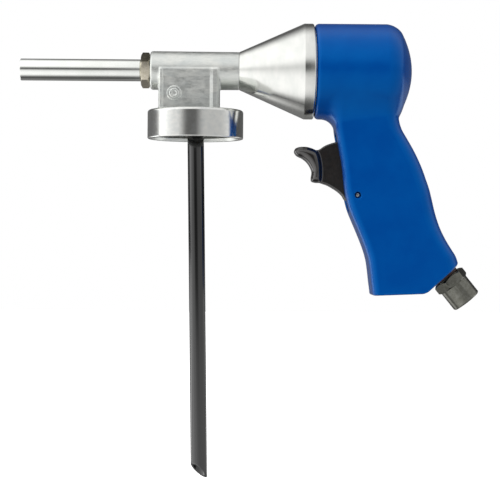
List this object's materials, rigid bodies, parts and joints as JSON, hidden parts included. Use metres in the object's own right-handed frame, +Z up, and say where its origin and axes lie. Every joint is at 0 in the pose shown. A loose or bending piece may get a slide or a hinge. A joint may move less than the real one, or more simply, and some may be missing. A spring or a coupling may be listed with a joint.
{
  "type": "suction-feed air spray gun for underbody coating",
  "caption": "Pistol-grip air spray gun for underbody coating, with a screw-on can cap, a suction tube, a straight spray tube and a trigger valve.",
  "frame": {"origin": "on the can's axis, at the rim of the can cap", "axes": "-X points along the spray tube to the nozzle, +X to the grip, +Z up along the can's axis away from the can, +Y to the right side of the gun"},
  "size_m": [0.2523, 0.0526, 0.2502],
  "materials": {
    "cast_aluminium": "as cast, satin",
    "turned_aluminium": "turned and polished",
    "plated_steel": "bright plated",
    "nickel_brass": "dull nickel over brass",
    "brass": "machined",
    "blackened_steel": "oil blackened",
    "bright_steel": "ground",
    "blue_plastic": "moulded, slightly glossy",
    "black_plastic": "moulded, glossy",
    "black_nylon": "extruded, satin",
    "black_rubber": "moulded",
    "red_fibre": "vulcanised fibre",
    "copper_washer": "annealed copper",
    "sintered_bronze": "sintered"
  },
  "bodies": {
    "gun": {"front_casting": "cast_aluminium", "can_gasket": "black_rubber", "air_jet": "brass", "jet_washer": "copper_washer", "suction_nipple": "brass", "suction_tube": "black_nylon", "cone_housing": "turned_aluminium", "spigot_o_ring": "black_rubber", "handle_frame": "cast_aluminium", "gallery_plug": "brass", "inlet_bushing": "blackened_steel", "inlet_seal": "red_fibre", "inlet_filter": "sintered_bronze", "valve_gland": "brass", "gland_o_ring": "black_rubber", "valve_seat": "brass", "valve_spring": "bright_steel", "valve_plug": "brass", "plug_o_ring": "black_rubber", "trigger_pin": "bright_steel", "handle_shell_left": "blue_plastic", "handle_shell_right": "blue_plastic", "shell_screws": "bright_steel"},
    "trigger": {"trigger": "black_plastic"},
    "valve": {"valve_stem": "bright_steel", "poppet_seal": "black_rubber"},
    "spray_tube": {"spray_tube": "plated_steel"},
    "lock_nut": {"lock_nut": "nickel_brass"}
  },
  "joints": [
    {"name": "trigger_pull", "type": "hinge", "parent": "gun", "child": "trigger", "pos_m": [0.0886, 0, -0.0305], "axis": [0, 1, 0], "range_deg": [0, 12], "stiffness_Nm_per_rad": 0.6, "springref_deg": -20.05},
    {"name": "valve_lift", "type": "slide", "parent": "gun", "child": "valve", "axis": [1, 0, 0], "range_m": [0, 0.00423], "deforming": ["valve_spring"]},
    {"name": "tube_adjust", "type": "slide", "parent": "gun", "child": "spray_tube", "axis": [-1, 0, 0], "range_m": [0, 0.006]},
    {"name": "nut_turn", "type": "hinge", "parent": "gun", "child": "lock_nut", "pos_m": [-0.02745, 0, 0.0376], "axis": [-1, 0, 0], "continuous": true}
  ],
  "couplings": [
    {"joint": "valve_lift", "follows": "trigger_pull", "m_per_rad": 0.0201}
  ]
}
